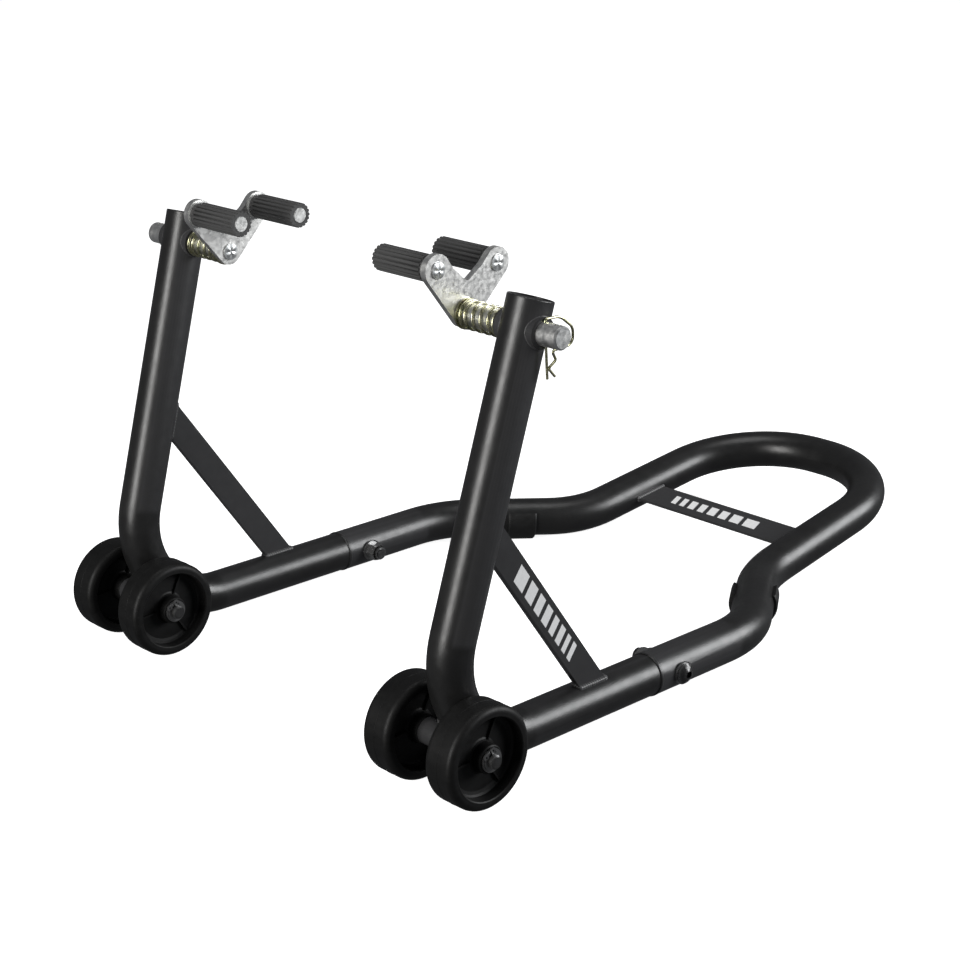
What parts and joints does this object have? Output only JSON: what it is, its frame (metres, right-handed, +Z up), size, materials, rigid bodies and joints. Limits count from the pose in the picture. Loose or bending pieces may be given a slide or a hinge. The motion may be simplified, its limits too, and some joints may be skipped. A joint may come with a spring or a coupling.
{
  "type": "motorcycle paddock stand",
  "caption": "Rear motorcycle paddock stand: bent tube frame on wheels, handle loop, and sprung sliding V supports with rubber-sleeved rollers.",
  "frame": {"origin": "on the ground, at the middle of the footprint", "axes": "+X towards the right side, +Y from the wheels towards the handle loop, +Z up"},
  "size_m": [0.4518, 0.6928, 0.3551],
  "materials": {
    "frame_black": "satin black powder coat",
    "plug_black": "matt",
    "foot_black": "satin moulded",
    "bolt_black": "black oxide",
    "wheel_black": "satin moulded",
    "axle_dark": "oiled dark steel",
    "zinc": "clear zinc plate",
    "sleeve_rubber": "ribbed matt rubber",
    "yellow_zinc": "yellow passivated zinc"
  },
  "bodies": {
    "frame": {"side_tube_right": "frame_black", "side_tube_left": "frame_black", "pin_boss_right": "frame_black", "pin_boss_left": "frame_black", "brace_right": "frame_black", "brace_left": "frame_black", "axle_tube_right": "frame_black", "axle_tube_left": "frame_black", "handle_loop": "frame_black", "handle_cross_plate": "frame_black", "top_plug_right": "plug_black", "top_plug_left": "plug_black", "foot_right": "foot_black", "foot_left": "foot_black", "joint_bolts": "bolt_black", "joint_nuts": "bolt_black", "joint_washers": "bolt_black", "wheel_axle_right": "axle_dark", "wheel_axle_left": "axle_dark", "axle_washers": "axle_dark", "axle_circlips": "axle_dark"},
    "slider_right": {"support_pin_right": "zinc", "r_clip_right": "yellow_zinc", "spring_washer_right": "yellow_zinc", "spring_right": "yellow_zinc"},
    "support_right": {"support_plate_right": "zinc", "roller_pegs_right": "zinc", "rubber_sleeves_right": "sleeve_rubber"},
    "wheel_right_outer": {"wheel_right_outer": "wheel_black"},
    "wheel_right_inner": {"wheel_right_inner": "wheel_black"},
    "slider_left": {"support_pin_left": "zinc", "r_clip_left": "yellow_zinc", "spring_washer_left": "yellow_zinc", "spring_left": "yellow_zinc"},
    "support_left": {"support_plate_left": "zinc", "roller_pegs_left": "zinc", "rubber_sleeves_left": "sleeve_rubber"},
    "wheel_left_outer": {"wheel_left_outer": "wheel_black"},
    "wheel_left_inner": {"wheel_left_inner": "wheel_black"}
  },
  "joints": [
    {"name": "support_slide_right", "type": "slide", "parent": "frame", "child": "slider_right", "axis": [1, 0, 0], "range_m": [0, 0.016], "stiffness_N_per_m": 8000, "springref_m": -0.004, "deforming": ["spring_right"]},
    {"name": "support_swivel_right", "type": "hinge", "parent": "slider_right", "child": "support_right", "pos_m": [0.1285, -0.24734, 0.3114], "axis": [1, 0, 0], "continuous": true},
    {"name": "wheel_right_outer_spin", "type": "hinge", "parent": "frame", "child": "wheel_right_outer", "pos_m": [0.2069, -0.3094, 0.037], "axis": [1, 0, 0], "continuous": true},
    {"name": "wheel_right_inner_spin", "type": "hinge", "parent": "frame", "child": "wheel_right_inner", "pos_m": [0.1449, -0.3094, 0.037], "axis": [1, 0, 0], "continuous": true},
    {"name": "support_slide_left", "type": "slide", "parent": "frame", "child": "slider_left", "axis": [-1, 0, 0], "range_m": [0, 0.016], "stiffness_N_per_m": 8000, "springref_m": -0.004, "deforming": ["spring_left"]},
    {"name": "support_swivel_left", "type": "hinge", "parent": "slider_left", "child": "support_left", "pos_m": [-0.1285, -0.24734, 0.3114], "axis": [1, 0, 0], "continuous": true},
    {"name": "wheel_left_outer_spin", "type": "hinge", "parent": "frame", "child": "wheel_left_outer", "pos_m": [-0.2069, -0.3094, 0.037], "axis": [1, 0, 0], "continuous": true},
    {"name": "wheel_left_inner_spin", "type": "hinge", "parent": "frame", "child": "wheel_left_inner", "pos_m": [-0.1449, -0.3094, 0.037], "axis": [1, 0, 0], "continuous": true}
  ]
}
